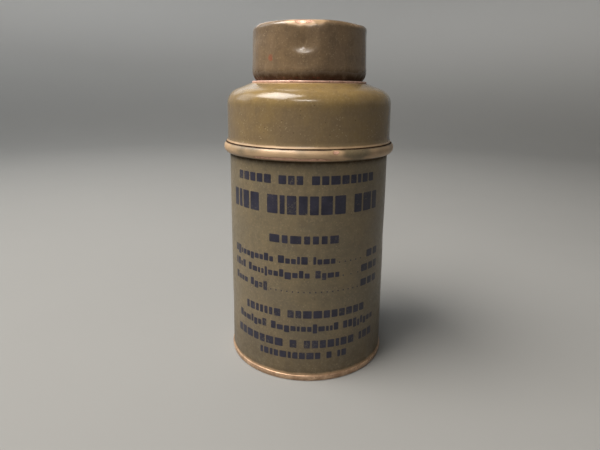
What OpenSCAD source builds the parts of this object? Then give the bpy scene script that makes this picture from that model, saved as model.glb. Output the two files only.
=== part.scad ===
// One-ounce powder tin: a soldered tinplate can with a rolled bead, a domed shoulder pushed
// over the can's mouth, and a revolving sifter cap held by a crimp under a bead on the neck.
// Millimetres. The origin is the middle of the foot, +Z points up, the printed front faces -Y
// and the side seam runs down the back, at +Y.

/* [Can] */
// Outside diameter of the body tube
body_d = 38.1; // [37.6:0.1:38.3]
// Height over everything, foot to cap top
overall_h = 79.6; // [78.6:0.1:84]
// Thickness of the tinplate
sheet = 0.25; // [0.2:0.01:0.26]
// Height of the middle of the rolled bead above the foot
bead_z = 52.0; // [40:0.1:52.2]
// Radius of the rolled bead's round section
bead_rad = 1.5; // [1.2:0.1:1.6]
// Height of the spigot that the shoulder slips over, above the bead's middle
spigot_h = 7.6; // [4:0.1:8.5]

/* [Bottom] */
// Height of the rim band that wraps the tube's lower edge
rim_h = 1.4; // [1.2:0.1:2.2]
// Height of the recessed bottom panel above the foot
panel_z = 1.9; // [1.2:0.1:2.6]
// Height of the raised ring pressed in the bottom panel
panel_ring_h = 0.5; // [0.2:0.1:0.8]

/* [Shoulder] */
// Outside diameter of the shoulder's wall
shoulder_d = 38.9; // [38.8:0.05:39.4]
// Radius of the shoulder's upper corner
dome_rad = 3.6; // [2.8:0.1:4.2]
// Height of the shoulder's straight wall top above the foot
dome_z = 61.95; // [60.8:0.05:62.0]
// Slope of the dome's top, in degrees above level
dome_slope = 21; // [16:1:22]

/* [Cap and sifter] */
// Outside diameter of the cap at its widest
cap_d = 27.2; // [26.8:0.1:28.4]
// How much narrower the cap is at its top than at its widest
cap_taper = 0.5; // [0.2:0.1:0.8]
// Radius of the cap's upper edge
cap_edge = 1.3; // [0.8:0.1:1.6]
// Height of the cap's foot above the foot of the can
cap_foot_z = 67.2; // [67.2:0.05:67.8]
// Number of pouring holes
hole_count = 6; // [4:1:8]
// Diameter of a pouring hole
hole_d = 2.4; // [1.6:0.1:3]
// Radius of the circle that the pouring holes lie on
hole_circle = 7.0; // [5.5:0.1:8]

/* [Hidden] */
$fn = 128;

olive = [0.36, 0.33, 0.22];
cap_olive = [0.33, 0.29, 0.20];
gold = [0.72, 0.52, 0.28];
tin = [0.66, 0.58, 0.50];
solder_grey = [0.62, 0.62, 0.60];
compound = [0.16, 0.16, 0.17];
gasket_tan = [0.60, 0.46, 0.30];

arc_steps = 10;
fit_gap = 0.05;        // radial clearance of a slip fit
lay_gap = 0.03;        // clearance between sheets that lie on each other
shoulder_sheet = 0.3;   // the drawn shoulder's own thickness
body_r = body_d / 2;
shoulder_r = shoulder_d / 2;
cap_r = cap_d / 2;

// Body tube
tube_foot_z = 0.5;                  // lower edge of the tube, inside the rim's channel
bead_in = 0.1;                      // the bead's centre lies this far inside the tube's skin
bead_r = body_r - bead_in;
spigot_r = shoulder_r - shoulder_sheet - fit_gap;
spigot_z = bead_z + spigot_h;
mouth_curl = 0.5;                   // inward lean of the spigot's mouth
mouth_lead = 1.2;                   // height of that lean
seam_w = 3.0;                       // width of the folded lock seam
seam_t = 0.5;                       // thickness of the fold inside the tube
seam_low = panel_z + 1.2;
seam_high = bead_z - bead_rad - 0.4;
groove_w = 1.0;                     // groove outside, where the fold begins
groove_deep = 0.12;
solder_w = 0.9;
solder_t = 0.09;
solder_low = rim_h + 0.4;
solder_high = bead_z - bead_rad - 0.3;

// Bottom end
channel_in = body_r - sheet - fit_gap;       // inner wall of the rim's channel
channel_out = body_r + fit_gap;              // outer wall of the rim's channel
rim_in = channel_in - sheet;
rim_out = channel_out + sheet;
foot_round = 0.3;                            // rounding of the rim's foot
ring_r = 12.5;                               // radius where the panel's raised ring starts
ring_run = 1.2;                              // width of its sloping side
seal_low = sheet + lay_gap;
seal_high = tube_foot_z - lay_gap;

// Shoulder
lip_rad = 2.6;                               // radius of the outward flare at the lip
lip_z = bead_z + 2.6;                        // height where the flare starts
lip_turn = 30;                               // turn of the flare, outside and inside
lip_turn_in = 21;
dome_cx = shoulder_r - dome_rad;
dome_turn = 90 - dome_slope;
seat_r = cap_r + 0.06;                       // edge of the flat seat round the neck's hole
seat_z = dome_top(seat_r);

// Sifter neck
neck_r = cap_r - 1.35;                        // leaves the crimp a running clearance
collar_r = neck_r + fit_gap + 0.05;          // hole in the shoulder
flange_r = 15.2;
clinch_r = cap_r - 0.04;                      // outer edge of the clinched ring
clinch_t = 0.44;
clinch_round = 0.15;
stop_z = cap_foot_z + 2.75;                  // middle of the bead that holds the cap
stop_rad = 0.7;
stop_out = 0.45;                             // how far the bead stands out of the neck
neck_corner = 1.0;

// Cap
cap_sheet = 0.28;
cap_top_r = cap_r - cap_taper / 2;
foot_rad = 4.0;                              // radius of the crimp at the cap's foot
foot_turn = 42;
crimp_z = cap_foot_z + foot_rad * sin(foot_turn);
cap_edge_z = overall_h - cap_edge;
panel_drop = 0.4;                            // depth of the recess in the cap's top
recess_r = 10.6;
recess_run = 0.6;
liner_t = 0.42;
liner_r = 11.6;
liner_top = overall_h - panel_drop - cap_sheet - lay_gap;
sifter_z = liner_top - liner_t - fit_gap;    // top of the perforated plate

function arc(cx, cz, r, from, to, steps = arc_steps) =
    [for (i = [0:steps]) let (a = from + (to - from) * i / steps) [cx + r * cos(a), cz + r * sin(a)]];
function reversed(p) = [for (i = [len(p) - 1:-1:0]) p[i]];
// Height of the dome's top face, or of a face lying `in` below it, at radius r
function dome_top(r, in = 0) =
    let (a = dome_turn, rad = dome_rad - in)
    dome_z + rad * sin(a) + (dome_cx + rad * cos(a) - r) * tan(dome_slope);

// Radius of the seat's edge on a face lying `in` below the dome's top
function seat_edge(in) = seat_r - in * tan(dome_slope / 2);

module turned(outer, inner) {
    rotate_extrude() polygon(concat(outer, reversed(inner)));
}

module hole_ring(count, circle, d, low, high, start) {
    for (i = [0:count - 1])
        rotate([0, 0, start + i * 360 / count])
            translate([circle, 0, low])
                cylinder(d = d, h = high - low, $fn = 48);
}

// Part of a tube's wall, centred on +Y and `w` wide
module back_strip(r_in, r_out, w, low, high) {
    intersection() {
        difference() {
            translate([0, 0, low]) cylinder(r = r_out, h = high - low);
            translate([0, 0, low - 1]) cylinder(r = r_in, h = high - low + 2);
        }
        translate([-w / 2, 0, low - 2]) cube([w, body_r * 2, high - low + 4]);
    }
}

module tube_section() {
    difference() {
        union() {
            translate([body_r - sheet, tube_foot_z]) square([sheet, bead_z - tube_foot_z]);
            translate([spigot_r - sheet, bead_z]) square([sheet, spigot_h - mouth_lead]);
            polygon([[spigot_r - sheet, spigot_z - mouth_lead], [spigot_r, spigot_z - mouth_lead],
                     [spigot_r - mouth_curl, spigot_z], [spigot_r - sheet - mouth_curl, spigot_z]]);
            translate([bead_r, bead_z]) circle(r = bead_rad, $fn = 64);
        }
        translate([bead_r, bead_z]) circle(r = bead_rad - sheet, $fn = 64);
        translate([bead_r - 2 * bead_rad, bead_z - bead_rad - 1])
            square([2 * bead_rad + bead_in - sheet, 2 * bead_rad + 2]);
    }
}

module body_shell() {
    color(olive) difference() {
        union() {
            rotate_extrude() tube_section();
            back_strip(body_r - sheet - seam_t, body_r - sheet / 2, seam_w, seam_low, seam_high);
        }
        back_strip(body_r - groove_deep, body_r + 1, groove_w, solder_low - 0.1, solder_high + 0.1);
    }
}

module seam_solder() {
    color(solder_grey)
        back_strip(body_r - groove_deep + 0.01, body_r - groove_deep + 0.01 + solder_t, solder_w,
                   solder_low, solder_high);
}

module bottom_end() {
    under = concat(
        [[0, panel_z + panel_ring_h], [ring_r, panel_z + panel_ring_h],
         [ring_r + ring_run, panel_z], [rim_in - foot_round, panel_z]],
        arc(rim_in - foot_round, panel_z - foot_round, foot_round, 90, 0, 4),
        arc(rim_in + foot_round, foot_round, foot_round, 180, 270, 4),
        arc(rim_out - foot_round, foot_round, foot_round, 270, 360, 4),
        arc(rim_out - sheet / 2, rim_h - sheet / 2, sheet / 2, 0, 90, 4));
    above = concat(
        [[0, panel_z + panel_ring_h + sheet], [ring_r, panel_z + panel_ring_h + sheet],
         [ring_r + ring_run, panel_z + sheet], [rim_in - foot_round, panel_z + sheet]],
        arc(rim_in - foot_round, panel_z - foot_round, foot_round + sheet, 90, 0, 4),
        [[channel_in, sheet], [channel_out, sheet], [channel_out, rim_h]]);
    color(gold) turned(under, above);
}

module bottom_seal() {
    color(compound) difference() {
        translate([0, 0, seal_low])
            cylinder(r = channel_out - lay_gap, h = seal_high - seal_low);
        cylinder(r = channel_in + lay_gap, h = tube_foot_z);
    }
}

// The shoulder's face that lies `in` below its outer skin, from the lip to the centre hole
function shoulder_face(in, turn) = concat(
    arc(shoulder_r + lip_rad, lip_z, lip_rad + in, 180 + turn, 180),
    arc(dome_cx, dome_z, dome_rad - in, 0, dome_turn),
    [[seat_edge(in), seat_z - in], [collar_r, seat_z - in]]);

module shoulder() {
    color(olive) turned(shoulder_face(0, lip_turn), shoulder_face(shoulder_sheet, lip_turn_in));
}

// The neck's face that lies `in` inside its outer skin, from the flange to the top plate
function neck_face(in) =
    let (lay = shoulder_sheet + lay_gap + in, reach = stop_rad - in,
         out = stop_out - stop_rad + in, half = acos(-out / reach))
    concat(
        [[flange_r, dome_top(flange_r, lay)], [seat_edge(lay), seat_z - lay], [neck_r - in, seat_z - lay]],
        arc(neck_r + stop_out - stop_rad, stop_z, reach, -half, half),
        arc(neck_r - neck_corner, sifter_z - neck_corner, neck_corner - in, 0, 90),
        [[0, sifter_z - in]]);

module clinch_ring() {
    low = seat_z + lay_gap;
    high = low + clinch_t;
    root = neck_r - sheet / 2;
    edge = clinch_r - clinch_round;
    rotate_extrude()
        polygon(concat([[root, low]], arc(edge, low + clinch_round, clinch_round, 270, 360, 4),
                       arc(edge, high - clinch_round, clinch_round, 0, 90, 4), [[root, high]]));
}

module sifter_neck() {
    color(tin) difference() {
        union() {
            turned(neck_face(0), neck_face(sheet));
            clinch_ring();
        }
        hole_ring(hole_count, hole_circle, hole_d, sifter_z - 2 * sheet, sifter_z + 1, 0);
    }
}

// The cap's face that lies `in` inside its outer skin, from the crimped foot to the top
function cap_face(in) = concat(
    arc(cap_r - foot_rad, crimp_z, foot_rad - in, -foot_turn, 0),
    arc(cap_top_r - cap_edge, cap_edge_z, cap_edge - in, 0, 90),
    [[recess_r + recess_run, overall_h - in], [recess_r, overall_h - panel_drop - in],
     [0, overall_h - panel_drop - in]]);

module turn_cap() {
    half_pitch = 180 / hole_count;
    color(cap_olive) difference() {
        turned(cap_face(0), cap_face(cap_sheet));
        hole_ring(hole_count, hole_circle, hole_d, liner_top - 1, overall_h + 1, half_pitch);
    }
}

module cap_liner() {
    half_pitch = 180 / hole_count;
    color(gasket_tan) difference() {
        translate([0, 0, liner_top - liner_t]) cylinder(r = liner_r, h = liner_t);
        hole_ring(hole_count, hole_circle, hole_d, liner_top - 2, liner_top + 1, half_pitch);
    }
}

body_shell();
seam_solder();
bottom_end();
bottom_seal();
shoulder();
sifter_neck();
turn_cap();
cap_liner();
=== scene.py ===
import math
import random

import bmesh
import bpy
from mathutils import Matrix, Vector, noise


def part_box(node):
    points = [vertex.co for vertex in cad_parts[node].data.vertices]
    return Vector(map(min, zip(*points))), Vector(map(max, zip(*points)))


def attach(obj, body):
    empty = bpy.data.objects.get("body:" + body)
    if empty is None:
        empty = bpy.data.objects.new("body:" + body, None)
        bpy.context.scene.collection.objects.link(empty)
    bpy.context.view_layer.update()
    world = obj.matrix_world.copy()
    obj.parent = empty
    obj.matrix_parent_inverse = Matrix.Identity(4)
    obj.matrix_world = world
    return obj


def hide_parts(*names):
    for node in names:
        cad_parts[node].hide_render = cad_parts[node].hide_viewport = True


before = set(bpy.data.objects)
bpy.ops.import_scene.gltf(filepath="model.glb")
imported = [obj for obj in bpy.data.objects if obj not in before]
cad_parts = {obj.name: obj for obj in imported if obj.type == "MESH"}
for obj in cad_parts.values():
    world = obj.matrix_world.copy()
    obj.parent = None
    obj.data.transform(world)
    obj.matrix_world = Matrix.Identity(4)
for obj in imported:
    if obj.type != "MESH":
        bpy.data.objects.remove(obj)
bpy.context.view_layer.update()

# A one-ounce olive-drab powder tin: soldered can, slip-on domed shoulder, revolving sifter cap.
# Outlines are in millimetres, as (radius, height above the foot), and meshes are made in metres.
# Angles run round the can in degrees: 0 is the printed front at -Y, 90 is +X, 180 is the side seam.
MM = 0.001


def top_of(node):
    """Height of a CAD node's highest point, in millimetres."""
    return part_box(node)[1].z / MM


def foot_of(node):
    """Height of a CAD node's lowest point, in millimetres."""
    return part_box(node)[0].z / MM


def radius_of(node):
    """Largest radius of a CAD node, in millimetres."""
    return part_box(node)[1].x / MM


# Can
SHEET = 0.25
RIM_R = radius_of("bottom_end")
CAN_R = RIM_R - SHEET - 0.05
CAN_IN = CAN_R - SHEET
CAN_FOOT = foot_of("body_shell")
CAN_TOP = top_of("body_shell")
BEAD_RAD = 1.5
BEAD_R = radius_of("body_shell") - BEAD_RAD
BEAD_Z = CAN_TOP - 7.6
MOUTH_LEAD = 1.2
MOUTH_CURL = 0.5
RIM_H = 1.4
PANEL_Z = 1.9
PANEL_RING_H = 0.5
PANEL_RING_R = 12.5
PANEL_RING_RUN = 1.2
FOOT_ROUND = 0.3
SEAM_HALF = 1.5
SEAM_FOLD = 0.5
GROOVE_HALF = 0.5
GROOVE_DEEP = 0.12
# Distances to each side of the seam's middle where the tube gets extra lines, to keep its steps crisp
SEAM_CUTS = (0.35, 0.4, 0.45, 0.5, 0.55, 1.4, 1.5, 1.6, 1.7)
# How many lines run up each round piece
SPOKES = 300

# Shoulder
DOME_SHEET = 0.3
DOME_R = 19.45
SPIGOT_R = DOME_R - DOME_SHEET - 0.05
DOME_RAD = 3.6
DOME_Z = 61.95
DOME_SLOPE = 21
LIP_RAD = 2.6
LIP_TURN = 30
LIP_TURN_IN = 21
LIP_Z = BEAD_Z + 2.6
LIP_FOOT = LIP_Z - LIP_RAD * math.sin(math.radians(LIP_TURN))

# Cap
CAP_SHEET = 0.28
CAP_R = radius_of("turn_cap")
CAP_TOP = top_of("turn_cap")
CAP_FOOT = foot_of("turn_cap")
CAP_TOP_R = CAP_R - 0.25
COLLAR_R = CAP_R - 1.25
SEAT_R = CAP_R + 0.06
CAP_EDGE = 1.3
CRIMP_RAD = 4.0
CRIMP_TURN = 42
RECESS_R = 10.6
RECESS_RUN = 0.6
RECESS_DROP = 0.4
HOLES = 6
HOLE_R = 1.2
HOLE_CIRCLE = 7.0
# Powder lies on the sifter's plate, whose top this is a little below
SIFTER_LOW = top_of("sifter_neck") - 0.6


# ---------------------------------------------------------------- outlines and meshes

def arc(cx, cz, r, start, end, steps):
    """A round stretch of an outline, from one angle to another in degrees."""
    turn = [math.radians(start + (end - start) * i / steps) for i in range(steps + 1)]
    return [(cx + r * math.cos(a), cz + r * math.sin(a)) for a in turn]


def cut_up(outline, step):
    """The outline with extra points, so that no stretch is longer than step."""
    out = []
    for (r0, z0), (r1, z1) in zip(outline, outline[1:]):
        pieces = max(1, math.ceil(math.hypot(r1 - r0, z1 - z0) / step))
        out += [(r0 + (r1 - r0) * i / pieces, z0 + (z1 - z0) * i / pieces) for i in range(pieces)]
    return out + [outline[-1]]


def place(theta, r, z):
    """The point in metres at an angle in degrees, a radius and a height."""
    a = math.radians(theta)
    return Vector((r * math.sin(a), -r * math.cos(a), z)) * MM


def even_angles(count):
    """That many angles evenly round the tin, in degrees."""
    return [360 * i / count for i in range(count)]


def revolve(bm, outline, angles, closed=False):
    """Adds the surface that the outline sweeps; a point on the axis becomes one vertex."""
    rings = []
    for r, z in outline:
        if r < 1e-6:
            rings.append([bm.verts.new(place(0, 0, z))] * len(angles))
        else:
            rings.append([bm.verts.new(place(a, r, z)) for a in angles])
    pairs = list(zip(rings, rings[1:]))
    if closed:
        pairs.append((rings[-1], rings[0]))
    for low, high in pairs:
        for i in range(len(angles)):
            j = (i + 1) % len(angles)
            corners = [low[i], low[j], high[j], high[i]]
            face = list(dict.fromkeys(corners))
            if len(face) > 2:
                bm.faces.new(face)


def polar(v):
    """(angle in degrees, radius, height) of a point in metres, the last two in millimetres."""
    theta = math.degrees(math.atan2(v.x, -v.y)) % 360
    return theta, math.hypot(v.x, v.y) / MM, v.z / MM


# Values stored on a mesh for its material: paint rubbed thin and through (on the bead's crest also a
# painted highlight), plate left bare, dirt together with painted shade, paint chipped to its red primer,
# and paint gone dull and grey, which on the shoulder's wall is painted shade
MARKS = ("wear", "bare", "grime_and_shade", "chips", "dull")


def finish_mesh(name, bm, body, shape=None, marks=None, sharp=40):
    """Welds, shapes and names a piece, and lets it ride. marks gives the MARKS at a point."""
    bmesh.ops.remove_doubles(bm, verts=bm.verts, dist=2e-7)
    spots = [polar(v.co) for v in bm.verts]
    if shape:
        for v, (theta, r, z) in zip(bm.verts, spots):
            v.co = place(theta, *shape(theta, r, z))
    bmesh.ops.recalc_face_normals(bm, faces=bm.faces)
    mesh = bpy.data.meshes.new(name)
    bm.to_mesh(mesh)
    bm.free()
    if marks:
        columns = zip(*[marks(*spot) for spot in spots])
        for key, column in zip(MARKS, columns):
            mesh.attributes.new(key, "FLOAT", "POINT").data.foreach_set("value", column)
    mesh.shade_smooth()
    mesh.set_sharp_from_angle(angle=math.radians(sharp))
    piece = bpy.data.objects.new(name, mesh)
    bpy.context.scene.collection.objects.link(piece)
    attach(piece, body)
    return piece


def bump_at(x, middle, width):
    """A smooth hump of height 1 and half-width `width` round `middle`."""
    return math.exp(-((x - middle) / width) ** 2)


def turn_between(a, b):
    """The signed angle from b to a, in degrees, between -180 and 180."""
    return (a - b + 180) % 360 - 180


def hump(theta, at, half):
    """A smooth hump of height 1 round the tin at an angle, its half-width in degrees."""
    return bump_at(turn_between(theta, at), 0, half)


def from_seam(theta):
    """Distance round the tube from the middle of the side seam, in millimetres."""
    return math.radians(abs(turn_between(theta, 180))) * CAN_R


def smooth(x, low, high):
    """0 below low, 1 above high, and a soft step between them."""
    t = min(1, max(0, (x - low) / (high - low)))
    return t * t * (3 - 2 * t)


def rough_field(theta, z, size, seed):
    """Smooth noise between about -1 and 1 over the can's skin, with features `size` mm wide."""
    p = place(theta, CAN_R, z) / (size * MM)
    return noise.noise(p + Vector((seed * 7.3, seed * 3.1, seed * 5.7)))


# ---------------------------------------------------------------- dents

# Each dent: angle and height of its middle, half-width round the tin, half-height above and below
# the middle, and depth, in degrees and mm
CAP_DENTS = [
    (30, 73.6, 2.4, 2.0, 1.4, 0.1),
    (-64, 76.4, 2.2, 1.6, 1.2, 0.12),
    (128, 73.0, 3.0, 2.2, 1.8, 0.3),
    (205, 75.5, 3.2, 1.8, 1.4, 0.34),
    (262, 72.2, 2.4, 1.6, 1.2, 0.18),
]
# The sharp dent in the cap's front, a cone below its middle and a soft hollow above it
CREASE = (-6.0, 74.3, 3.2, 2.6, 1.8, 0.5)
# Angles of the upright ridges between the cap's flattened stretches
CAP_RIDGES = (-92, -60, -33, 9, 37, 68, 104, 137, 168, 199, 232, 268)
CAP_FLATNESS = 0.34
# Where the cap's upper edge is knocked: angle, half-width in degrees, drop and push inwards in mm
CAP_EDGE_KNOCKS = [
    (-19, 5, 0.0, 0.2),
    (-10, 5, 0.02, 0.4),
    (-1, 5, 0.03, 0.36),
    (8, 4, 0.04, 0.2),
    (54, 20, 0.24, 0.1),
    (-78, 14, 0.14, 0.1),
    (150, 16, 0.3, 0.3),
    (222, 11, 0.2, 0.3),
]
DOME_DENTS = [
    (-38, 58.2, 4.5, 3.0, 3.0, 0.05),
    (24, 57.0, 5.0, 3.4, 3.4, 0.06),
    (96, 59.5, 3.0, 2.0, 1.6, 0.16),
    (168, 56.8, 4.0, 2.4, 2.4, 0.12),
    (232, 60.2, 3.4, 1.6, 1.4, 0.2),
]
CAN_DENTS = [
    (-30, 33.0, 9.0, 7.0, 7.0, 0.06),
    (20, 18.0, 8.0, 9.0, 9.0, 0.07),
    (-12, 8.0, 7.0, 4.0, 4.0, 0.05),
    (92, 30.0, 5.0, 4.0, 3.2, 0.22),
    (140, 14.0, 4.0, 3.0, 2.4, 0.18),
    (238, 38.0, 6.0, 5.0, 4.0, 0.2),
    (290, 12.0, 4.5, 3.5, 3.0, 0.14),
]


# Nicks in the bead: angle, half-width in degrees, and depth in mm
BEAD_NICKS = [(16, 2.2, 0.16), (24, 2, 0.07)]


def dented(theta, z, dents, skin_r):
    """How far the skin is pushed in at a point, in millimetres."""
    depth = 0
    for at, height, half_w, above, below, deep in dents:
        across = math.radians(turn_between(theta, at)) * skin_r
        half_h = above if z > height else below
        if abs(across) < 3 * half_w and abs(z - height) < 3 * half_h:
            depth += deep * bump_at(across, 0, half_w) * bump_at(z, height, half_h)
    return depth


def creased(theta, z):
    """How far the sharp dent in the cap's front goes in, in millimetres."""
    at, height, half_w, above, below, deep = CREASE
    across = abs(math.radians(turn_between(theta, at)) * CAP_R) / half_w
    if z > height:
        return deep * max(0, 1 - across) * bump_at(z, height, above)
    return deep * max(0, 1 - math.hypot(across, (z - height) / below))


def flattened(theta):
    """How far the cap lies inside its round outline, flat between ridges, in millimetres."""
    turns = [turn_between(theta, ridge) for ridge in CAP_RIDGES]
    past = min(t % 360 for t in turns)
    ahead = min(-t % 360 for t in turns)
    half = (past + ahead) / 2
    if half < 1e-6:
        return 0
    chord = 1 - ((past - half) / half) ** 2
    soft = math.sin(math.pi * past / (2 * half)) ** 2
    return CAP_FLATNESS * CAP_R * math.radians(half) ** 2 / 2 * (0.45 * chord + 0.55 * soft)


def edge_knock(theta):
    """How far the cap's upper edge is knocked down and in at an angle, in millimetres."""
    share = [(hump(theta, at, half), drop, push) for at, half, drop, push in CAP_EDGE_KNOCKS]
    return sum(s * drop for s, drop, _ in share), sum(s * push for s, _, push in share)


def cap_shape(theta, r, z):
    """The cap's skin with its dents, flattened stretches, knocked edge and thin tin's waviness."""
    on_wall = smooth(r, RECESS_R, CAP_R - 1.4)
    band = smooth(z, CAP_FOOT + 0.4, CAP_FOOT + 3.4)
    band *= 1 - 0.75 * smooth(z, CAP_TOP - 2.6, CAP_TOP - 0.4)
    deep = dented(theta, z, CAP_DENTS, CAP_R) + creased(theta, z) + band * flattened(theta)
    deep += 0.03 * band * (1 + rough_field(theta, z, 4, 1))
    drop, push = edge_knock(theta)
    deep += push * bump_at(z, CAP_TOP - 0.75, 0.85)
    return r - max(0, deep) * on_wall, z - drop * smooth(z, CAP_TOP - 2.4, CAP_TOP - 0.4) * on_wall


def dome_shape(theta, r, z):
    """The shoulder's skin: almost true, with a few shallow dents and a slightly uneven lip."""
    wall = smooth(r, COLLAR_R + 0.4, DOME_R - 3)
    deep = dented(theta, z, DOME_DENTS, DOME_R) + 0.012 + 0.012 * rough_field(theta, z, 9, 2)
    lip = 0.04 * (1 - smooth(z, LIP_Z - 1.2, LIP_Z)) * rough_field(theta, 0, 5, 3)
    return r - wall * deep, z + max(0, lip)


def can_shape(theta, r, z):
    """The can's skin: shallow dents, a nicked bead, and the side seam's fold and groove."""
    outside = r > CAN_R - SHEET / 2
    tube = 1 - smooth(z, BEAD_Z - BEAD_RAD - 1.5, BEAD_Z - BEAD_RAD)
    tube *= smooth(z, RIM_H, RIM_H + 4)
    deep = tube * (dented(theta, z, CAN_DENTS, CAN_R) + 0.01 + 0.012 * rough_field(theta, z, 10, 4))
    crest = smooth(r, CAN_R + 0.4, CAN_R + 1.2)
    nick = sum(depth * hump(theta, at, half) for at, half, depth in BEAD_NICKS)
    deep += crest * (nick + 0.035 * (1 + rough_field(theta, 0, 6, 5)))
    back = from_seam(theta)
    along = smooth(z, PANEL_Z + 1, PANEL_Z + 1.4) * (1 - smooth(z, BEAD_Z - 2.2, BEAD_Z - 1.8))
    if outside:
        deep += GROOVE_DEEP * along * (1 - smooth(back, GROOVE_HALF - 0.15, GROOVE_HALF + 0.05))
    elif z < BEAD_Z:
        deep += SEAM_FOLD * along * (1 - smooth(back, SEAM_HALF - 0.1, SEAM_HALF + 0.2))
    return r - deep, z


def rim_shape(theta, r, z):
    """The bottom rim's rolled band, a little uneven where it was nipped round the can."""
    band = smooth(r, CAN_R, RIM_R - 0.1)
    belly = ((z - 0.55 * RIM_H) / (0.5 * RIM_H)) ** 2
    deep = band * (0.015 * (1 + rough_field(theta, 0, 5, 6)) + 0.155 * min(1.3, belly))
    top = band * smooth(z, RIM_H * 0.5, RIM_H) * 0.07 * (1 + rough_field(theta, 0, 3, 7))
    panel = 0.05 * rough_field(theta, z + r, 14, 8) * (1 - smooth(r, 10, 17))
    return r - deep, z - top + panel


# ---------------------------------------------------------------- wear marks, painted shade and a painted highlight

# Half-width of the margin along the side seam that is left without paint
SEAM_BARE = 1.25


def bead_wear_and_highlight(theta, r, z, crest):
    """How far the bead is rubbed: along its crest, where the pale thin paint is also a painted
    highlight, in patches under it and at its nick.
    """
    under = bump_at(z, BEAD_Z - 0.95, 0.5) * smooth(r, CAN_R + 0.5, CAN_R + 1.1)
    patch = hump(theta, -16, 26) + 0.5 * hump(theta, 18, 7)
    patch += 0.4 + 0.4 * rough_field(theta, 0, 9, 9)
    kept = 0.95 * hump(theta, 29, 10) + 0.5 * hump(theta, -48, 9)
    # The pale thin paint along the crest is also a painted highlight
    worn = 0.34 + 0.16 * rough_field(theta, z, 2.4, 15)
    wear = worn * crest * max(0, 1 - kept) + 0.36 * under * patch
    nicked = hump(theta, 15.5, 2.2) * bump_at(z, BEAD_Z + 0.7, 0.6)
    return wear + (0.6 + 0.5 * rough_field(theta, z, 1.2, 16)) * crest * nicked


def can_marks(theta, r, z):
    """The can: rubbed on its bead, bare at its seam, mouth and inside, dirty in its corners, and
    darkened under the bead and towards its foot as painted shade.
    """
    crest = smooth(r, CAN_R + 0.3, CAN_R + 1.25) if z > RIM_H + 5 else 0
    wear = bead_wear_and_highlight(theta, r, z, crest) + 0.42 * (1 - smooth(z, RIM_H, RIM_H + 1.0))
    seam = 1 - smooth(from_seam(theta), SEAM_BARE - 0.1, SEAM_BARE + 0.1)
    inside = 1 - smooth(r, CAN_IN + 0.02, CAN_IN + 0.12)
    spigot = smooth(z, BEAD_Z + 1.7, BEAD_Z + 1.9)
    # Painted shade: the skin just under the bead is darkened as the bead's shadow
    shade_under_bead = bump_at(z, BEAD_Z - BEAD_RAD, 0.8) * (1 - crest)
    lip_line = 2.2 * bump_at(z, BEAD_Z + 1.22, 0.15) * (1 - 0.4 * hump(theta, 15, 3))
    # Dirt in the corner above the rim, and painted shade darkening the lower body towards the foot
    foot = max(0.8 * bump_at(z, RIM_H + 0.2, 0.7), 0.4 * (1 - smooth(z, 2, 17)))
    dull = 0.5 + 0.5 * rough_field(theta, z, 16, 12)
    return (wear * (1 - min(1, lip_line)), max(seam, inside, spigot),
            max(shade_under_bead, lip_line, foot), 0, 0.4 * dull)


def dome_marks(theta, r, z):
    """The shoulder: rubbed along its lip and its seat, bare inside, and its upright wall painted greyer
    and darker than the slope as painted shade.
    """
    lip = 1 - smooth(z, LIP_FOOT + 0.2, LIP_FOOT + 0.75)
    side = 0.4 + 0.6 * hump(theta, -50, 40) + 0.4 * hump(theta, 60, 30)
    seat = bump_at(r, SEAT_R + 0.1, 0.3) * side if z > DOME_Z + 2 else 0
    inner = (1 - smooth(r, DOME_R - 0.2, DOME_R - 0.1)) if z < DOME_Z else 0
    edge = 2 * (1 - smooth(z, LIP_FOOT + 0.01, LIP_FOOT + 0.06))
    # Painted shade: the upright wall below the corner is greyer and darker than the slope above it
    dull = (1 - smooth(z, DOME_Z - 1.5, DOME_Z + 1.5)) * (0.75 + 0.25 * rough_field(theta, z, 8, 13))
    lip *= 0.36 + 0.12 * rough_field(theta, 0, 6, 14)
    return (lip + 0.66 * seat) * (1 - min(1, edge)), inner, edge, 0, dull


def cap_marks(theta, r, z):
    """The cap: rubbed along its upper edge and where it was knocked, dirty at its crimped foot."""
    edge = bump_at(z, CAP_TOP - 0.3, 0.6) * smooth(r, CAP_TOP_R - 1.7, CAP_TOP_R - 0.9)
    _, push = edge_knock(theta)
    low_edge = bump_at(z, CAP_TOP - 0.8, 0.7) * smooth(r, CAP_TOP_R - 1.7, CAP_TOP_R - 0.8)
    rubbed = 0.12 + 0.18 * rough_field(theta, 0, 6, 10) + 0.38 * hump(theta, -7, 15)
    wear = edge * rubbed + 1.1 * low_edge * push
    chips = hump(theta, -40, 6) * bump_at(z, 71.9, 1.7)
    chips += 0.8 * hump(theta, 70, 6) * bump_at(z, 74, 4)
    chips += 0.75 * bump_at(z, CAP_FOOT + 0.5, 0.8) + 0.5 * edge
    foot = 1 - smooth(z, CAP_FOOT + 0.4, CAP_FOOT + 2.4)
    holes = bump_at(r, HOLE_CIRCLE, 3.0) if z > CAP_TOP - 1 else 0
    return wear, 0, max(foot, 0.5 * holes), chips, 0.3


def rim_marks(theta, r, z):
    """The bottom end: rubbed where it stands and along the band's middle."""
    foot = 1 - smooth(z, 0.02, 0.3)
    band = smooth(r, RIM_R - 0.12, RIM_R - 0.02)
    return max(0.75 * foot * smooth(r, 18, 18.4), 0.3 * band), 0, bump_at(r, 18.2, 0.8), 0, 0


# ---------------------------------------------------------------- node materials

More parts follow.
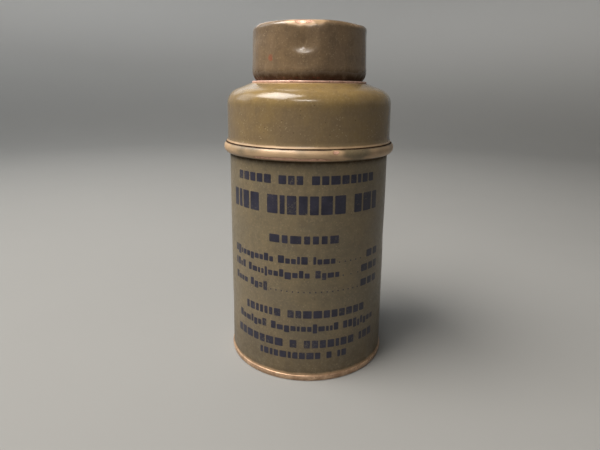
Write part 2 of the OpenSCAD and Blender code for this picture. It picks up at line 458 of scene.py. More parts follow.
class Finish:
    """Builds one procedural material. Each method adds a node and gives back its output socket."""

    def __init__(self, name):
        self.material = bpy.data.materials.new(name)
        self.material.use_nodes = True
        self.nodes = self.material.node_tree.nodes
        self.links = self.material.node_tree.links
        self.shader = next(n for n in self.nodes if n.type == "BSDF_PRINCIPLED")
        self.where = self.add("ShaderNodeTexCoord").outputs["Object"]

    def add(self, kind, inputs=None, **settings):
        """A new node with its inputs fed and its settings made."""
        node = self.nodes.new(kind)
        for key, value in settings.items():
            setattr(node, key, value)
        for key, value in (inputs or {}).items():
            self.feed(node.inputs[key], value)
        return node

    def feed(self, socket, value):
        """Links a socket to an output, or sets it to a plain value."""
        if isinstance(value, bpy.types.NodeSocket):
            self.links.new(value, socket)
        else:
            socket.default_value = value

    def scaled(self, scale, shift):
        """Where a point is, scaled and shifted."""
        return self.add("ShaderNodeMapping", {"Vector": self.where, "Scale": scale,
                                              "Location": shift}).outputs[0]

    def noise(self, size, detail=4, roughness=0.55, stretch=(1, 1, 1), shift=0):
        """Noise between 0 and 1 whose features are about `size` mm wide."""
        spot = self.scaled([s / (size * MM) for s in stretch], (shift, shift * 0.7, shift * 0.3))
        return self.add("ShaderNodeTexNoise", {"Vector": spot, "Scale": 1.0, "Detail": detail,
                                               "Roughness": roughness}).outputs["Fac"]

    def cells(self, size, shift=0):
        """Distance to the nearest of scattered points about `size` mm apart."""
        spot = self.scaled([1 / (size * MM)] * 3, (shift, shift, shift))
        return self.add("ShaderNodeTexVoronoi", {"Vector": spot, "Scale": 1.0}).outputs["Distance"]

    def height(self):
        """Height above the foot, in metres."""
        return self.add("ShaderNodeSeparateXYZ", {"Vector": self.where}).outputs["Z"]

    def mark(self, name):
        """A value stored on the mesh."""
        return self.add("ShaderNodeAttribute", attribute_name=name).outputs["Fac"]

    def ease(self, value, low, high, to_low=0.0, to_high=1.0):
        """Maps low..high to to_low..to_high with a soft step."""
        return self.add("ShaderNodeMapRange", {"Value": value, "From Min": low, "From Max": high,
                                               "To Min": to_low, "To Max": to_high},
                        interpolation_type="SMOOTHSTEP").outputs["Result"]

    def maths(self, operation, a, b):
        """One sum with two numbers or sockets."""
        node = self.add("ShaderNodeMath", operation=operation)
        self.feed(node.inputs[0], a)
        self.feed(node.inputs[1], b)
        return node.outputs[0]

    def times(self, a, b):
        return self.maths("MULTIPLY", a, b)

    def plus(self, a, b):
        return self.maths("ADD", a, b)

    def most(self, a, b):
        return self.maths("MAXIMUM", a, b)

    def mix(self, share, a, b):
        """Colour a, going to colour b where share is 1."""
        node = self.add("ShaderNodeMix", data_type="RGBA")
        self.feed(node.inputs["Factor"], share)
        self.feed(node.inputs[6], a)
        self.feed(node.inputs[7], b)
        return node.outputs[2]

    def over(self, colour, share, strength, other):
        """The colour with another laid over it, at that strength where share is 1."""
        return self.mix(self.times(share, strength), colour, other)

    def blend(self, share, a, b):
        """Number a, going to number b where share is 1."""
        node = self.add("ShaderNodeMix", data_type="FLOAT")
        self.feed(node.inputs["Factor"], share)
        self.feed(node.inputs[2], a)
        self.feed(node.inputs[3], b)
        return node.outputs[0]

    def relief(self, height, depth_mm, below=None):
        """A bump of that depth, on top of another one."""
        node = self.add("ShaderNodeBump", {"Height": height, "Strength": 1.0, "Distance": depth_mm * MM})
        if below:
            self.links.new(below, node.inputs["Normal"])
        return node.outputs["Normal"]

    def done(self, **sockets):
        """Feeds the shader's sockets, with _ for a space in their names, and gives the material."""
        for key, value in sockets.items():
            self.feed(self.shader.inputs[key.replace("_", " ")], value)
        return self.material


def linear(r, g, b):
    """A colour for a shader socket, from the values that a screen shows, each from 11 to 255."""
    return tuple(((v / 255 + 0.055) / 1.055) ** 2.4 for v in (r, g, b)) + (1.0,)


COPPER_TIN = linear(216, 178, 156)
OLD_COPPER = linear(190, 140, 112)
BRIGHT_TIN = linear(170, 161, 144)
STAINED_TIN = linear(146, 130, 104)
# Pale tan of paint rubbed thin, also used as a painted highlight on the bead's crest
THIN_PAINT_AND_HIGHLIGHT = linear(182, 152, 118)
# Grey-brown of paint gone dull, also used as painted shade on the shoulder's wall
DULL_PAINT_AND_SHADE = linear(104, 92, 78)
RED_PRIMER = linear(132, 62, 44)
POWDER = linear(192, 184, 168)
SPECK = linear(184, 168, 136)
FINE_SPECK = linear(176, 158, 124)
SCRATCH = linear(176, 158, 118)
PIT = linear(58, 40, 26)
# Dark brown of dirt, also used as painted shade under the bead and towards the can's foot
DIRT_AND_SHADE = linear(44, 28, 20)
WORN_ROUGH = 0.42
DIRT_ROUGH = 0.75


def mottled_lacquer(m, base, yellow, dark, shift):
    """Olive lacquer as it came off the line and then aged: clouded, blotched and gone dull, the dull
    mark also carrying painted shade on the shoulder's wall.
    """
    cloud = m.ease(m.noise(9, 5, 0.6, shift=shift), 0.34, 0.68)
    blotch = m.ease(m.noise(2.2, 6, 0.65, shift=shift + 3), 0.42, 0.7)
    streak = m.ease(m.noise(1.1, 4, 0.6, (1, 1, 0.12), shift + 5), 0.5, 0.78)
    colour = m.over(base, cloud, 0.75, yellow)
    colour = m.over(colour, blotch, 0.36, dark)
    colour = m.over(colour, streak, 0.28, dark)
    fine = m.ease(m.noise(0.5, 4, 0.7, shift=shift + 44), 0.5, 0.72)
    colour = m.over(colour, fine, 0.2, FINE_SPECK)
    # Greyer where the mesh is marked dull, which on the shoulder's wall is painted shade
    return m.over(colour, m.mark("dull"), 0.6, DULL_PAINT_AND_SHADE)


def specks_and_pits(m, colour, specks, shift):
    """The colour with pale specks and dark pits, and how pitted it is."""
    grains = m.ease(m.cells(0.7, shift), 0.13, 0.24, 1, 0)
    few = m.ease(m.noise(4.2, 3, 0.6, shift=shift + 8), 0.47, 0.64)
    colour = m.mix(m.times(grains, m.times(few, specks)), colour, SPECK)
    pits = m.ease(m.cells(1.9, shift + 11), 0.04, 0.09, 1, 0)
    return m.over(colour, pits, 0.5, PIT), pits


def rubbed_and_chipped(m, colour, shift):
    """The colour rubbed thin, chipped to its primer and rubbed through, and how far of each."""
    tooth = m.noise(0.7, 6, 0.72, shift=shift + 14)
    broad = m.noise(3.2, 4, 0.6, shift=shift + 17)
    ragged = m.plus(m.times(tooth, 0.5), m.times(broad, 0.5))
    wear = m.mark("wear")
    thin = m.ease(m.plus(wear, m.times(broad, 0.3)), 0.24, 0.56)
    colour = m.over(colour, thin, 0.8, THIN_PAINT_AND_HIGHLIGHT)
    reached = m.plus(wear, m.times(ragged, 0.9))
    rubbed = m.ease(reached, 1.06, 1.18)
    flakes = m.ease(m.plus(m.mark("chips"), m.times(tooth, 0.9)), 1.2, 1.34)
    primer = m.most(m.ease(reached, 0.99, 1.09), flakes)
    colour = m.over(colour, primer, 0.52, RED_PRIMER)
    plate = m.mix(m.noise(0.5, 3, shift=shift + 20), COPPER_TIN, OLD_COPPER)
    return m.mix(rubbed, colour, plate), thin, rubbed


def scratched(m, colour, shift):
    """The colour with a few fine upright scratches."""
    scratch = m.ease(m.noise(0.22, 3, 0.5, (1, 1, 0.05), shift + 23), 0.7, 0.76)
    scratch = m.times(scratch, m.ease(m.noise(7, 2, shift=shift + 26), 0.55, 0.7))
    return m.over(colour, scratch, 0.35, SCRATCH)


def painted_tin(name, base, yellow, dark, gloss, specks, shift):
    """Olive lacquer on tinplate: mottled, speckled, rubbed thin and through, dirty in the corners, with
    painted shade and a painted highlight where the marks say.
    """
    m = Finish(name)
    colour = mottled_lacquer(m, base, yellow, dark, shift)
    colour, pits = specks_and_pits(m, colour, specks, shift)
    patchy = m.ease(m.noise(1.6, 5, 0.7, shift=shift + 2), 0.25, 0.6, 0.45, 1)
    # Darkened where the mesh is marked dirty and where shade is painted
    grime_and_shade = m.times(m.mark("grime_and_shade"), patchy)
    colour = m.over(colour, grime_and_shade, 0.75, DIRT_AND_SHADE)
    colour, thin, rubbed = rubbed_and_chipped(m, colour, shift)
    colour = scratched(m, colour, shift)

    bare = m.mark("bare")
    stain = m.ease(m.noise(3.5, 5, 0.65, shift=shift + 29), 0.35, 0.7)
    colour = m.mix(bare, colour, m.mix(stain, BRIGHT_TIN, STAINED_TIN))
    metal = m.most(m.most(m.times(rubbed, 0.25), m.times(bare, 0.9)), m.times(thin, 0.1))
    shine = m.ease(grime_and_shade, 0.2, 0.8, 0.43, 0.04)

    uneven = m.ease(m.noise(1.3, 5, 0.65, shift=shift + 32), 0.3, 0.7)
    rough = m.blend(uneven, gloss - 0.05, gloss + 0.08)
    rough = m.blend(m.times(grime_and_shade, 0.8), rough, DIRT_ROUGH)
    rough = m.blend(m.most(bare, m.times(thin, 0.7)), rough, WORN_ROUGH)
    peel = m.relief(m.noise(0.55, 3, 0.5, shift=shift + 35), 0.005)
    waves = m.relief(m.noise(3.8, 2, 0.5, shift=shift + 38), 0.02, peel)
    layers = m.relief(m.maths("SUBTRACT", 1.0, m.most(rubbed, pits)), 0.018, waves)
    return m.done(Base_Color=colour, Metallic=metal, Roughness=rough, Normal=layers,
                  Specular_IOR_Level=shine)


def gold_lacquer():
    """The bottom end: tinplate under a gold lacquer, stained brown and rubbed paler where it stands."""
    m = Finish("gold_lacquer")
    stain = m.ease(m.noise(3.2, 6, 0.65), 0.36, 0.62)
    colour = m.mix(stain, linear(196, 164, 134), linear(154, 124, 98))
    fleck = m.ease(m.cells(1.1, 4), 0.08, 0.2, 1, 0)
    colour = m.over(colour, fleck, 0.4, linear(96, 66, 48))
    dirt = m.times(m.mark("grime_and_shade"), m.ease(m.noise(1.8, 5, 0.7, shift=9), 0.3, 0.6))
    colour = m.over(colour, dirt, 0.7, linear(60, 44, 30))
    ragged = m.plus(m.noise(0.8, 6, 0.7, shift=12), m.mark("wear"))
    rubbed = m.ease(ragged, 0.86, 1.06)
    colour = m.mix(rubbed, colour, linear(222, 190, 160))
    rough = m.blend(m.ease(m.noise(0.9, 5, 0.65, shift=15), 0.3, 0.7), 0.3, 0.5)
    swirl = m.noise(0.18, 3, 0.5, (1, 1, 0.2), 18)
    normal = m.relief(swirl, 0.003, m.relief(m.noise(1.6, 3, 0.5, shift=21), 0.012))
    return m.done(Base_Color=colour, Metallic=0.5, Roughness=rough, Normal=normal)


def coppery_tin():
    """The sifter neck: bare plate gone dull pink, with powder caught on it."""
    m = Finish("bare_tinplate")
    stain = m.ease(m.noise(1.6, 6, 0.7), 0.38, 0.64)
    colour = m.mix(stain, linear(226, 190, 174), linear(196, 154, 136))
    dark = m.ease(m.noise(0.7, 5, 0.7, shift=4), 0.56, 0.68)
    colour = m.over(colour, dark, 0.7, linear(96, 62, 50))
    dust = m.ease(m.noise(0.45, 5, 0.75, shift=9), 0.56, 0.68)
    on_plate = m.ease(m.height(), SIFTER_LOW * MM, (SIFTER_LOW + 0.4) * MM)
    caught = m.ease(m.noise(0.9, 4, 0.6, shift=16), 0.35, 0.65, 0.1, 0.8)
    dust = m.most(dust, m.times(on_plate, caught))
    colour = m.over(colour, dust, 0.85, POWDER)
    metal = m.blend(m.most(dark, dust), 0.3, 0.1)
    rough = m.blend(m.most(dark, dust), 0.42, 0.8)
    normal = m.relief(m.noise(0.5, 5, 0.6, shift=13), 0.02)
    return m.done(Base_Color=colour, Metallic=metal, Roughness=rough, Normal=normal)


def solder():
    """Dull grey solder with a lumpy skin."""
    m = Finish("solder")
    colour = m.mix(m.noise(0.9, 5, 0.65), linear(148, 146, 140), linear(92, 90, 84))
    rough = m.blend(m.noise(0.6, 4, shift=5), 0.38, 0.62)
    normal = m.relief(m.noise(0.5, 4, 0.6, shift=8), 0.03)
    return m.done(Base_Color=colour, Metallic=0.85, Roughness=rough, Normal=normal)


def cork_gasket():
    """Cork-and-paper gasket, granular, dusted with powder."""
    m = Finish("cork_gasket")
    grain = m.cells(0.55, 2)
    colour = m.mix(m.ease(grain, 0.1, 0.6), linear(178, 134, 88), linear(116, 78, 46))
    colour = m.mix(m.ease(m.noise(1.1, 5, 0.7, shift=6), 0.5, 0.7, 0, 0.6), colour, POWDER)
    rough = m.blend(m.noise(0.5, 3, shift=4), 0.8, 0.95)
    return m.done(Base_Color=colour, Roughness=rough, Normal=m.relief(grain, 0.05))


def sealing_compound():
    """Black rubbery sealing compound, a little uneven."""
    m = Finish("sealing_compound")
    colour = m.mix(m.noise(0.8, 4), linear(36, 36, 38), linear(64, 62, 60))
    rough = m.blend(m.noise(0.6, 3, shift=3), 0.55, 0.8)
    return m.done(Base_Color=colour, Roughness=rough, Normal=m.relief(m.noise(0.7, 4, shift=7), 0.03))


def printing_ink():
    """Navy-black ink, thin enough that the mottled lacquer breaks through it."""
    m = Finish("printing_ink")
    depth = m.ease(m.noise(2.4, 5, 0.65, shift=3), 0.3, 0.7)
    colour = m.mix(depth, linear(24, 24, 40), linear(40, 39, 54))
    fine, broad = m.noise(0.35, 5, 0.75, shift=6), m.noise(4, 3, 0.6, shift=9)
    ragged = m.plus(m.times(fine, 0.6), m.times(broad, 0.4))
    worn = m.ease(ragged, 0.55, 0.64)
    colour = m.over(colour, worn, 0.6, linear(104, 94, 72))
    rough = m.blend(worn, 0.42, 0.5)
    normal = m.relief(m.noise(0.5, 4, shift=12), 0.01)
    return m.done(Base_Color=colour, Roughness=rough, Normal=normal)


# ---------------------------------------------------------------- pieces

def can_body():
    """The tube with its rolled bead, spigot and folded side seam, as one skin of tinplate."""
    low = math.degrees(math.acos((CAN_R - BEAD_R) / BEAD_RAD))
    high = math.degrees(math.acos((SPIGOT_R - BEAD_R) / BEAD_RAD))
    hollow = BEAD_RAD - SHEET
    low_in = math.degrees(math.acos((CAN_IN - BEAD_R) / hollow))
    high_in = math.degrees(math.acos((SPIGOT_R - SHEET - BEAD_R) / hollow))
    lead = CAN_TOP - MOUTH_LEAD
    outer = [(CAN_R, CAN_FOOT)] + arc(BEAD_R, BEAD_Z, BEAD_RAD, -low, high, 72)
    outer += [(SPIGOT_R, lead), (SPIGOT_R - MOUTH_CURL, CAN_TOP)]
    inner = [(CAN_IN, CAN_FOOT)] + arc(BEAD_R, BEAD_Z, hollow, -low_in, high_in, 20)
    inner += [(SPIGOT_R - SHEET, lead), (SPIGOT_R - SHEET - MOUTH_CURL, CAN_TOP)]
    outline = cut_up(outer, 0.8) + cut_up(inner, 0.8)[::-1]
    seam = [180 + side * w / CAN_R * 180 / math.pi for side in (-1, 1) for w in SEAM_CUTS]
    angles = sorted(set(even_angles(SPOKES)) | set(seam))
    bm = bmesh.new()
    revolve(bm, outline, angles, closed=True)
    return finish_mesh("can_body", bm, "can", can_shape, can_marks)


def dome_face(depth, turn):
    """The shoulder's face that lies `depth` below its skin, from the lip to the middle hole."""
    slope = math.radians(DOME_SLOPE)
    face = arc(DOME_R + LIP_RAD, LIP_Z, LIP_RAD + depth, 180 + turn, 180, 16)
    face += arc(DOME_R - DOME_RAD, DOME_Z, DOME_RAD - depth, 0, 90 - DOME_SLOPE, 18)
    r, z = face[-1]
    edge = SEAT_R - depth * math.tan(slope / 2)
    seat = z + (r - edge) * math.tan(slope)
    return face + [(edge, seat), (COLLAR_R, seat)]


def dome_skin():
    """The drawn shoulder, whose flared lip rests on the bead."""
    skin, inside = dome_face(0, LIP_TURN), dome_face(DOME_SHEET, LIP_TURN_IN)
    outline = cut_up(skin, 0.6) + cut_up(inside, 0.6)[::-1]
    bm = bmesh.new()
    revolve(bm, outline, even_angles(SPOKES), closed=True)
    return finish_mesh("dome_skin", bm, "dome_top", dome_shape, dome_marks)


# The cap's top is a grid of rings and spokes. Round each hole a patch of the grid is left out, with
# PATCH_ROWS rings from PATCH_IN to PATCH_OUT and PATCH_HALF spokes to each side of the hole's middle.
CAP_SPOKES = 240
PATCH_IN = 5.2
PATCH_OUT = 8.8
PATCH_ROWS = 12
PATCH_HALF = 10


def panel_grid(bm, z):
    """The panel's rings of vertices, from the inside outwards, and which ring the patches begin at."""
    patch = [PATCH_IN + (PATCH_OUT - PATCH_IN) * i / PATCH_ROWS for i in range(PATCH_ROWS + 1)]
    radii = [1.2, 2.4, 3.6, 4.4] + patch + [9.4, 10.0, RECESS_R]
    grid = [[bm.verts.new(place(a, r, z)) for a in even_angles(CAP_SPOKES)] for r in radii]
    return grid, radii.index(PATCH_IN)


def patch_border(low, c):
    """The patch's border round the hole at spoke c, as rings and spokes; low is its first ring."""
    top = low + PATCH_ROWS
    border = [(low, c + s) for s in range(-PATCH_HALF, PATCH_HALF)]
    border += [(row, c + PATCH_HALF) for row in range(low, top)]
    border += [(top, c + s) for s in range(PATCH_HALF, -PATCH_HALF, -1)]
    return border + [(row, c - PATCH_HALF) for row in range(top, low, -1)]


def join_rings(bm, ring, other):
    """Fills the band between two closed rings with as many vertices."""
    for i in range(len(ring)):
        j = (i + 1) % len(ring)
        bm.faces.new((ring[i], ring[j], other[j], other[i]))


def pierced_panel(bm, z):
    """The cap's flat round top with its pouring holes. Gives back each hole's ring of vertices."""
    grid, low = panel_grid(bm, z)
    middle = bm.verts.new(place(0, 0, z))
    for i in range(CAP_SPOKES):
        bm.faces.new((middle, grid[0][i], grid[0][(i + 1) % CAP_SPOKES]))
    hole_spokes = [k * CAP_SPOKES // HOLES for k in range(HOLES)]
    left_out = {(row, (c + s) % CAP_SPOKES) for c in hole_spokes
                for s in range(-PATCH_HALF, PATCH_HALF) for row in range(low, low + PATCH_ROWS)}
    for row in range(len(grid) - 1):
        for i in range(CAP_SPOKES):
            if (row, i) not in left_out:
                j = (i + 1) % CAP_SPOKES
                bm.faces.new((grid[row][i], grid[row][j], grid[row + 1][j], grid[row + 1][i]))
    mouths = []
    for c in hole_spokes:
        ring = [grid[row][i % CAP_SPOKES] for row, i in patch_border(low, c)]
        centre = place(360 * c / CAP_SPOKES, HOLE_CIRCLE, z)
        for r in (HOLE_R + 0.1, HOLE_R):
            inside = [bm.verts.new(centre + (v.co - centre).normalized() * r * MM) for v in ring]
            join_rings(bm, ring, inside)
            ring = inside
        mouths.append(ring)
    for v in [v for row in grid for v in row if not v.link_faces]:
        bm.verts.remove(v)
    return mouths


def cap_face(depth):
    """The cap's face that lies `depth` inside its skin, from the crimped foot to the recess."""
    crimp_z = CAP_FOOT + CRIMP_RAD * math.sin(math.radians(CRIMP_TURN))
    face = arc(CAP_R - CRIMP_RAD, crimp_z, CRIMP_RAD - depth, -CRIMP_TURN, 0, 12)
    face += arc(CAP_TOP_R - CAP_EDGE, CAP_TOP - CAP_EDGE, CAP_EDGE - depth, 0, 90, 12)
    return face + [(RECESS_R + RECESS_RUN, CAP_TOP - depth), (RECESS_R, CAP_TOP - RECESS_DROP - depth)]


def cap_skin():
    """The revolving cap with its recessed, pierced top and crimped foot."""
    outer, inner = cut_up(cap_face(0), 0.4), cut_up(cap_face(CAP_SHEET), 0.4)
    bm = bmesh.new()
    revolve(bm, inner[::-1] + outer, even_angles(CAP_SPOKES))
    above = pierced_panel(bm, CAP_TOP - RECESS_DROP)
    below = pierced_panel(bm, CAP_TOP - RECESS_DROP - CAP_SHEET)
    for high, low in zip(above, below):
        join_rings(bm, high, low)
    return finish_mesh("cap_skin", bm, "turning_cap", cap_shape, cap_marks, sharp=35)


def bottom_skin():
    """The bottom end: recessed panel with a pressed ring, and the rolled rim it stands on."""
    rim_in = CAN_IN - 0.05 - SHEET
    high = PANEL_Z + PANEL_RING_H
    bend = rim_in - FOOT_ROUND
    under = [(0, high), (PANEL_RING_R, high), (PANEL_RING_R + PANEL_RING_RUN, PANEL_Z)]
    under += arc(bend, PANEL_Z - FOOT_ROUND, FOOT_ROUND, 90, 0, 6)
    under += arc(rim_in + FOOT_ROUND, FOOT_ROUND, FOOT_ROUND, 180, 270, 6)
    under += arc(RIM_R - FOOT_ROUND, FOOT_ROUND, FOOT_ROUND, 270, 360, 8)
    under += arc(RIM_R - SHEET / 2, RIM_H - SHEET / 2, SHEET / 2, 0, 90, 6)
    above = [(0, high + SHEET), (PANEL_RING_R, high + SHEET)]
    above += [(PANEL_RING_R + PANEL_RING_RUN, PANEL_Z + SHEET)]
    above += arc(bend, PANEL_Z - FOOT_ROUND, FOOT_ROUND + SHEET, 90, 0, 6)
    above += [(CAN_IN - 0.05, SHEET), (CAN_R + 0.05, SHEET), (CAN_R + 0.05, RIM_H)]
    bm = bmesh.new()
    revolve(bm, cut_up(under, 0.7), even_angles(SPOKES))
    revolve(bm, cut_up(above, 0.7), even_angles(SPOKES))
    return finish_mesh("bottom_skin", bm, "can", rim_shape, rim_marks)


SOLDER_ROWS = 150
SOLDER_ACROSS = 8
SOLDER_HALF = 0.36
SOLDER_CROWN = 0.105


def solder_row(bm, z, share):
    """The fillet's vertices at one height, on its crown and under it; share narrows it at its ends."""
    base = CAN_R - GROOVE_DEEP + 0.012
    width = (SOLDER_HALF + 0.06 * noise.noise(Vector((z * 0.9, 3, 0)))) * share
    crown = SOLDER_CROWN + 0.02 * noise.noise(Vector((z * 1.7, 9, 0)))
    across = [2 * k / SOLDER_ACROSS - 1 for k in range(SOLDER_ACROSS + 1)]
    angles = [180 + math.degrees(width * s / CAN_R) for s in across]
    crest = [base + 0.004 + crown * (1 - s ** 2) for s in across]
    top = [bm.verts.new(place(a, r, z)) for a, r in zip(angles, crest)]
    return top, [bm.verts.new(place(a, base, z)) for a in angles]


def solder_line():
    """The solder in the seam's groove: a low, lumpy fillet along the tube's back."""
    low, high = foot_of("seam_solder"), top_of("seam_solder")
    rows, across = SOLDER_ROWS, SOLDER_ACROSS
    shares = [smooth(i, -1, 4) * (1 - smooth(i, rows - 4, rows + 1)) for i in range(rows + 1)]
    bm = bmesh.new()
    top, under = zip(*[solder_row(bm, low + (high - low) * i / rows, share)
                       for i, share in enumerate(shares)])
    for i in range(rows):
        for k in range(across):
            bm.faces.new((top[i][k], top[i][k + 1], top[i + 1][k + 1], top[i + 1][k]))
            bm.faces.new((under[i][k], under[i + 1][k], under[i + 1][k + 1], under[i][k + 1]))
        for k, flip in ((0, 1), (across, -1)):
            side = (top[i][k], top[i + 1][k], under[i + 1][k], under[i][k])
            bm.faces.new(side[::flip])
    for i, flip in ((0, -1), (rows, 1)):
        for k in range(across):
            end = (top[i][k], top[i][k + 1], under[i][k + 1], under[i][k])
            bm.faces.new(end[::flip])
    return finish_mesh("solder_line", bm, "can")


# ---------------------------------------------------------------- printing

# Lines of greeked print, one block for each character. Each row: height of the foot of the
# characters, their height, first and last angle, blocks in each word, width of a block against
# its height, and whether the blocks vary in height as small letters do.
PRINT_LINES = [
    (45.7, 1.9, -55, 48, (5, 3, 8), 0.62, False),
    (39.2, 4.1, -62, 53, (4, 7, 3), 0.46, False),
    (32.7, 1.8, -27, 20, (7,), 0.7, False),
    (28.1, 1.75, -62, 18, (10, 5, 4), 0.5, True),
    (24.9, 1.75, -62, 21, (4, 12, 4), 0.5, True),
    (21.4, 1.75, -62, -29, (4, 4), 0.5, True),
    (15.4, 1.8, -48, 43, (7, 10), 0.62, False),
    (12.2, 1.8, -57, 54, (7, 12, 8), 0.52, True),
    (8.1, 1.9, -59, 53, (7, 1, 7, 3), 0.72, False),
    (5.4, 1.6, -35, 28, (10, 1, 2), 0.62, False),
]
# Dotted leaders: height of the dots, first and last angle, and the short item that each leads to
LEADERS = [
    (28.3, 21, 38, (44, 57), 2),
    (25.1, 24, 36, (39, 57), 3),
    (21.6, -26, 36, (39, 57), 3),
]
INK_T = 0.022
INK_SINK = 0.02
# What the blocks' widths, and small letters' heights and tails, are drawn from
BLOCK_WIDTHS = (0.6, 0.9, 1.0, 1.0, 1.1, 1.35)
SMALL_HEIGHTS = (0.68, 0.68, 0.68, 1.0)
SMALL_TAILS = (0, 0, 0, 0, 0.24)
DOT_SPACING = 3.6
DOT_HALF = 0.45


def ink_block(bm, start, end, low, high, bevel=0.12):
    """One printed block, a thin curved tile with cut corners that follows the can's skin."""
    steps = max(1, math.ceil((end - start) / 1.3))
    cut = math.degrees(bevel / CAN_R)
    columns = [(start, low + bevel, high - bevel), (start + cut, low, high)]
    columns += [(start + cut + (end - start - 2 * cut) * i / steps, low, high) for i in range(1, steps)]
    columns += [(end - cut, low, high), (end, low + bevel, high - bevel)]
    top, under = [[[bm.verts.new(place(theta, can_shape(theta, CAN_R, z)[0] + lift, z)) for z in ends]
                   for theta, *ends in columns] for lift in (INK_T, -INK_SINK)]
    for i in range(len(columns) - 1):
        bm.faces.new((top[i][0], top[i + 1][0], top[i + 1][1], top[i][1]))
        bm.faces.new((under[i][1], under[i + 1][1], under[i + 1][0], under[i][0]))
        bm.faces.new((top[i][0], under[i][0], under[i + 1][0], top[i + 1][0]))
        bm.faces.new((top[i][1], top[i + 1][1], under[i + 1][1], under[i][1]))
    for i in (0, -1):
        bm.faces.new((top[i][0], top[i][1], under[i][1], under[i][0]))


def print_line(bm, foot, height, start, end, words, width, mixed, rng):
    """Fills the stretch from start to end with words of blocks."""
    widths = [[width * rng.choice(BLOCK_WIDTHS) for _ in range(n)] for n in words]
    gap, space = 0.26 * width, 1.15 * width
    total = sum(sum(w) + gap * (len(w) - 1) for w in widths) + space * (len(words) - 1)
    unit = (end - start) / total
    at = start
    for word in widths:
        for k, w in enumerate(word):
            top, drop = height, 0
            if mixed and k:
                top = height * rng.choice(SMALL_HEIGHTS)
                drop = height * rng.choice(SMALL_TAILS)
            ink_block(bm, at, at + w * unit, foot - drop, foot + top)
            at += (w + gap) * unit
        at += (space - gap) * unit


def print_leader(bm, z, start, end, item, blocks, rng):
    """A row of dots that leads to a short item at the right."""
    dots = max(2, round((end - start) / DOT_SPACING))
    for i in range(dots):
        at = start + (end - start) * i / (dots - 1)
        ink_block(bm, at - DOT_HALF, at + DOT_HALF, z - 0.15, z + 0.15, 0.08)
    print_line(bm, z - 0.2, 1.7, item[0], item[1], (blocks,), 0.6, False, rng)


def printing():
    """All of the can's print, as one thin layer of ink."""
    rng = random.Random(11)
    bm = bmesh.new()
    for foot, height, start, end, words, width, mixed in PRINT_LINES:
        print_line(bm, foot, height, start, end, words, width, mixed, rng)
    for z, start, end, item, blocks in LEADERS:
        print_leader(bm, z, start, end, item, blocks, rng)
    return finish_mesh("printing", bm, "can", sharp=60)


# ---------------------------------------------------------------- stage, light, camera

CAMERA_AT = Vector((-2.0, -115.1, 65.33)) * MM
CAMERA_PITCH = 12.02
CAMERA_ROLL = 0.48
CAMERA_LENS = 28.16
CAMERA_SHIFT = -0.06
TIN_MIDDLE = Vector((0, 0, 45)) * MM

# The floor is a round dish, in metres: flat, then swept up, then upright, and paler above PALE_ABOVE
FLOOR_FLAT = 0.45
FLOOR_SWEEP = 0.3
FLOOR_RISE = 0.7
FLOOR_SIDES = 96
PALE_ABOVE = 0.2


def stage_floor():
    """A plain pale floor that rises all round the tin in one sweep."""
    outline = [(FLOOR_FLAT / 3, 0.0)] + arc(FLOOR_FLAT, FLOOR_SWEEP, FLOOR_SWEEP, -90, 0, 18)
    outline.append((FLOOR_FLAT + FLOOR_SWEEP, FLOOR_RISE))
    bm = bmesh.new()
    rings = [[bm.verts.new(place(a, r / MM, z / MM)) for a in even_angles(FLOOR_SIDES)]
             for r, z in outline]
    bm.faces.new(rings[0])
    for low, high in zip(rings, rings[1:]):
        join_rings(bm, high, low)
    bmesh.ops.recalc_face_normals(bm, faces=bm.faces)
    mesh = bpy.data.meshes.new("floor")
    bm.to_mesh(mesh)
    bm.free()
    mesh.shade_smooth()
    floor = bpy.data.objects.new("floor", mesh)
    bpy.context.scene.collection.objects.link(floor)
    m = Finish("floor_paper")
    paper = m.mix(m.noise(60, 3), linear(131, 131, 129), linear(128, 128, 126))
    paper = m.mix(m.ease(m.height(), 0.0, PALE_ABOVE), paper, linear(205, 205, 203))
    floor.data.materials.append(m.done(Base_Color=paper, Roughness=0.9))


def area_light(name, at, aim, width, height, power, colour=(1, 1, 1), spread=180):
    """A soft box at a point, turned to another, both in metres; spread is its beam in degrees."""
    data = bpy.data.lights.new(name, "AREA")
    data.shape = "RECTANGLE"
    data.size, data.size_y = width, height
    data.energy = power
    data.color = colour
    data.spread = math.radians(spread)
    light = bpy.data.objects.new(name, data)
    light.location = at
    light.visible_camera = False
    light.rotation_mode = "QUATERNION"
    light.rotation_quaternion = (Vector(aim) - Vector(at)).to_track_quat("-Z", "Y")
    bpy.context.scene.collection.objects.link(light)


def round_tin(azimuth, elevation, distance):
    """The point at an angle round the tin's middle, an angle above it and a distance."""
    a, e = math.radians(azimuth), math.radians(elevation)
    back = Vector((math.sin(a) * math.cos(e), -math.cos(a) * math.cos(e), math.sin(e)))
    return TIN_MIDDLE + back * distance


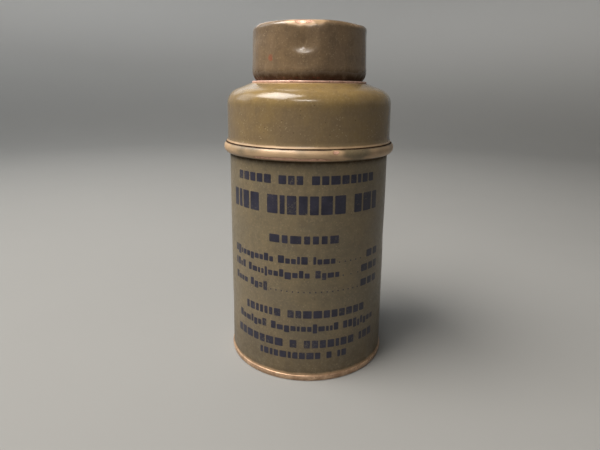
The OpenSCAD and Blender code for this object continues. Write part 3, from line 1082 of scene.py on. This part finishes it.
def lighting():
    """A key from the upper left, a low wide lamp in front, weak cards behind and a lit backdrop."""
    area_light("key", round_tin(-67, 58, 0.55), TIN_MIDDLE, 0.42, 0.32, 2.2, (1.0, 0.95, 0.89), 100)
    area_light("front_lamp", round_tin(-8, 37, 0.55), TIN_MIDDLE, 0.24, 0.045, 0.7, (1.0, 0.96, 0.91))
    area_light("left_card", round_tin(-108, 30, 0.6), TIN_MIDDLE, 0.3, 0.3, 0.5, (0.9, 0.95, 1.0))
    area_light("back_card", round_tin(200, 32, 0.6), TIN_MIDDLE, 0.4, 0.3, 0.32, (0.95, 0.97, 1.0))
    area_light("backdrop_lamp", (-0.2, 0.15, 0.55), (-0.3, 0.75, 0.25), 0.5, 0.2, 1.6)
    world = bpy.data.worlds.new("surround")
    world.use_nodes = True
    background = world.node_tree.nodes["Background"]
    background.inputs["Color"].default_value = (0.94, 0.96, 1.0, 1)
    background.inputs["Strength"].default_value = 0.03
    bpy.context.scene.world = world


def make_camera():
    """The camera near the tin, a little above its middle and looking down."""
    data = bpy.data.cameras.new("camera")
    data.sensor_width = 36
    data.lens = CAMERA_LENS
    data.shift_y = CAMERA_SHIFT
    data.clip_start = 0.005
    camera = bpy.data.objects.new("camera", data)
    pitch = Matrix.Rotation(math.radians(90 - CAMERA_PITCH), 4, "X")
    roll = Matrix.Rotation(math.radians(CAMERA_ROLL), 4, "Z")
    camera.matrix_world = Matrix.Translation(CAMERA_AT) @ pitch @ roll
    bpy.context.scene.collection.objects.link(camera)
    bpy.context.scene.camera = camera


def cover(piece, material, *nodes):
    """Gives a piece its material and lets it stand for CAD nodes."""
    piece.data.materials.append(material)
    if nodes:
        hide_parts(*nodes)


def coat(node, material):
    """Gives a CAD node that stays a material of its own."""
    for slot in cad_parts[node].material_slots:
        slot.material = material


make_camera()
lighting()
stage_floor()
bpy.context.scene.view_settings.view_transform = "Standard"

CAN_PAINT = painted_tin("can_paint", linear(99, 90, 71), linear(114, 100, 73), linear(76, 69, 57),
                        gloss=0.38, specks=0.2, shift=1)
DOME_PAINT = painted_tin("dome_paint", linear(118, 99, 68), linear(132, 109, 64), linear(90, 75, 54),
                         gloss=0.18, specks=0.3, shift=41)
CAP_PAINT = painted_tin("cap_paint", linear(104, 86, 66), linear(122, 100, 72), linear(66, 52, 40),
                        gloss=0.19, specks=0.16, shift=83)

cover(can_body(), CAN_PAINT, "body_shell")
cover(dome_skin(), DOME_PAINT, "shoulder")
cover(cap_skin(), CAP_PAINT, "turn_cap")
cover(bottom_skin(), gold_lacquer(), "bottom_end")
cover(solder_line(), solder(), "seam_solder")
cover(printing(), printing_ink())
coat("sifter_neck", coppery_tin())
coat("cap_liner", cork_gasket())
coat("bottom_seal", sealing_compound())
